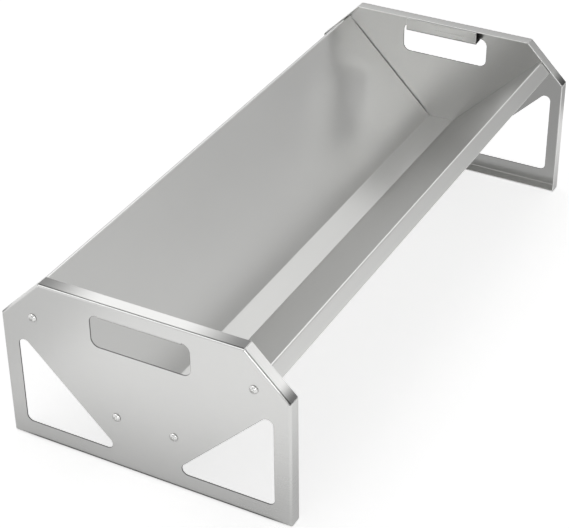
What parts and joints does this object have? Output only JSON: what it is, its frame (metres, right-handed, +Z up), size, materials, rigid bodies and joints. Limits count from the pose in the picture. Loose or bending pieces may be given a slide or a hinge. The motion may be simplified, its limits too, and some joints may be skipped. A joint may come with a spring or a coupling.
{
  "type": "livestock feed trough",
  "caption": "Long stainless feed trough: floor, sloping walls and lips folded from one sheet and bolted between folded end plates with hand slots and triangular foot windows.",
  "frame": {"origin": "on the floor, under the middle of the trough", "axes": "+X along the trough towards the right end plate, +Y across it towards the back, +Z up"},
  "size_m": [0.8016, 0.36, 0.218],
  "materials": {
    "body_steel": "satin brushed stainless sheet, grain along the trough",
    "plate_steel": "satin brushed stainless sheet, pale and even",
    "bolt_steel": "bright turned stainless button head",
    "washer_steel": "plain stainless, stamped",
    "nut_steel": "plain stainless, machined"
  },
  "bodies": {
    "root": {"trough_body": "body_steel", "end_plate_left": "plate_steel", "end_plate_right": "plate_steel", "bolt_left_back_lower": "bolt_steel", "bolt_left_back_upper": "bolt_steel", "bolt_left_front_lower": "bolt_steel", "bolt_left_front_upper": "bolt_steel", "bolt_right_back_lower": "bolt_steel", "bolt_right_back_upper": "bolt_steel", "bolt_right_front_lower": "bolt_steel", "bolt_right_front_upper": "bolt_steel", "washer_left_back_lower": "washer_steel", "washer_left_back_upper": "washer_steel", "washer_left_front_lower": "washer_steel", "washer_left_front_upper": "washer_steel", "washer_right_back_lower": "washer_steel", "washer_right_back_upper": "washer_steel", "washer_right_front_lower": "washer_steel", "washer_right_front_upper": "washer_steel", "nut_left_back_lower": "nut_steel", "nut_left_back_upper": "nut_steel", "nut_left_front_lower": "nut_steel", "nut_left_front_upper": "nut_steel", "nut_right_back_lower": "nut_steel", "nut_right_back_upper": "nut_steel", "nut_right_front_lower": "nut_steel", "nut_right_front_upper": "nut_steel"}
  },
  "joints": []
}
